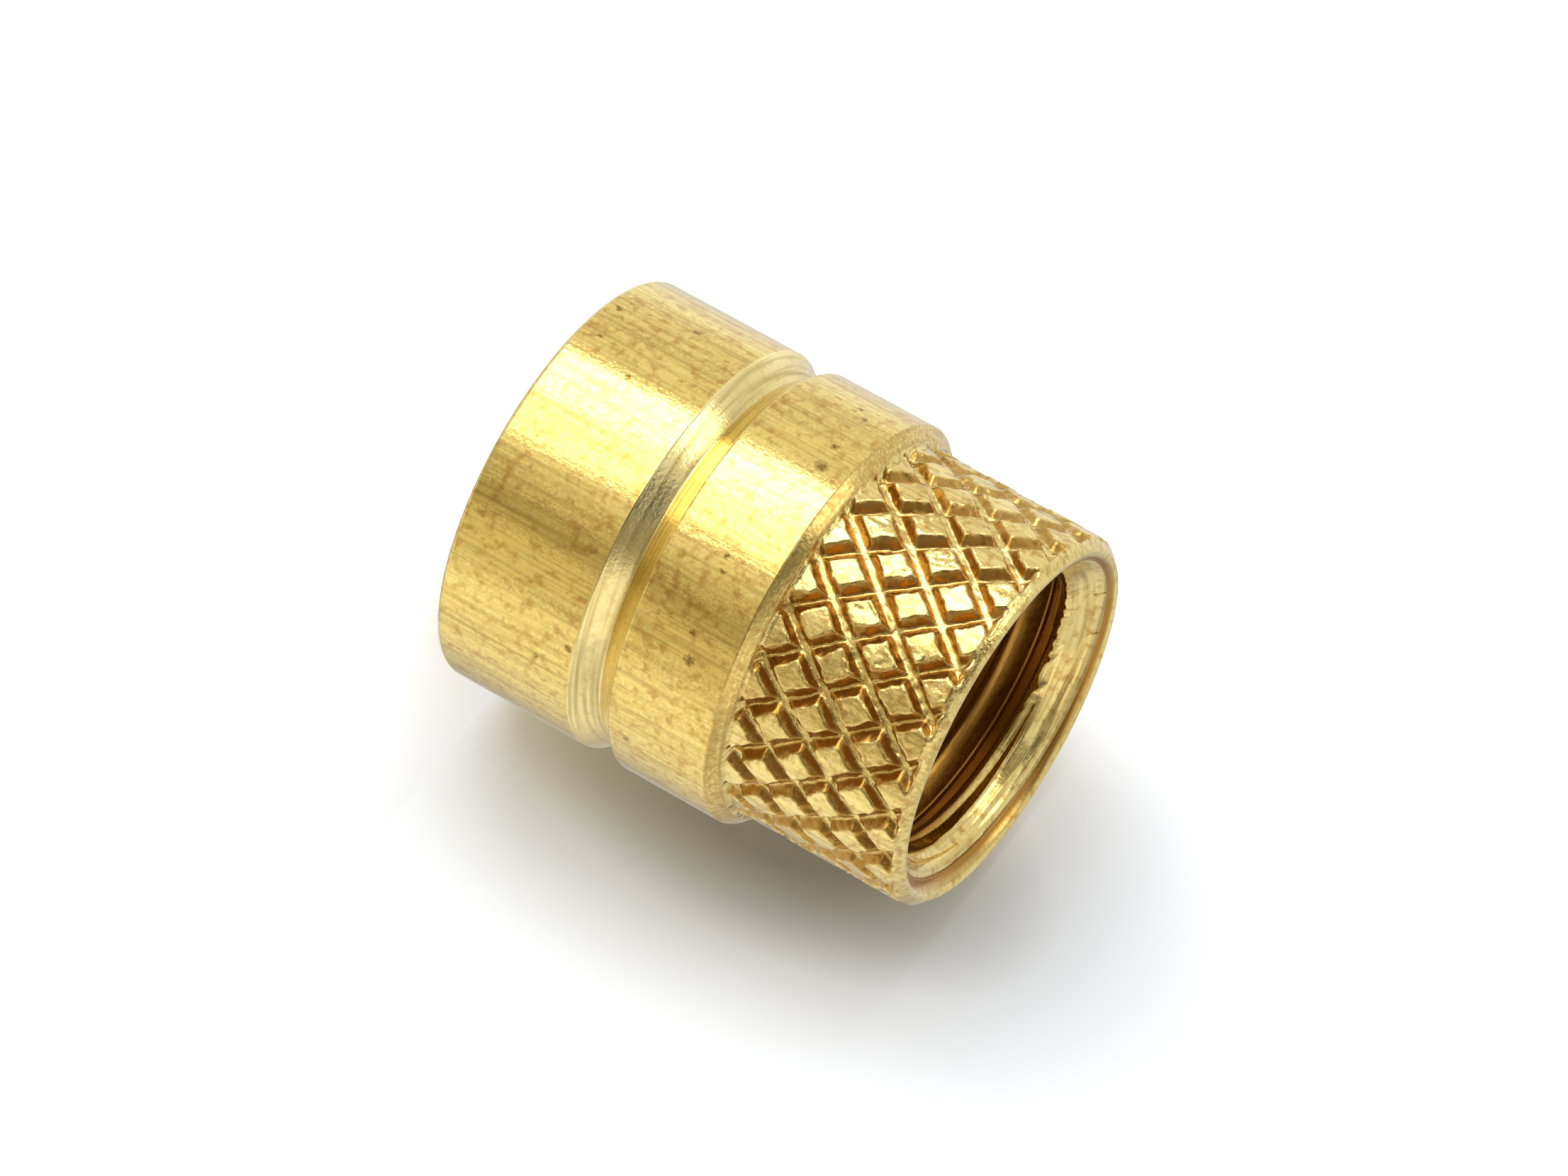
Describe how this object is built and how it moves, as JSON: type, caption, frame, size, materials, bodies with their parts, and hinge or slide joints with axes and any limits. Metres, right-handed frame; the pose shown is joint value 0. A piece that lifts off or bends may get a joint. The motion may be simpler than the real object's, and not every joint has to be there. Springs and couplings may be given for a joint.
{
  "type": "lock nut",
  "caption": "Tubular brass lock nut, threaded right through, with a plain turned body, a vee groove round it and a slimmer diamond-knurled neck at the mouth.",
  "frame": {"origin": "centre of the smooth end, which the nut stands on", "axes": "+Z along the nut's axis, from the smooth end towards the knurled mouth; +X and +Y are free, because the nut is round"},
  "size_m": [0.01, 0.01, 0.012],
  "materials": {
    "brass": "bright turned brass with drawing streaks and small tarnish spots"
  },
  "bodies": {
    "root": {"lock_nut": "brass"}
  },
  "joints": []
}
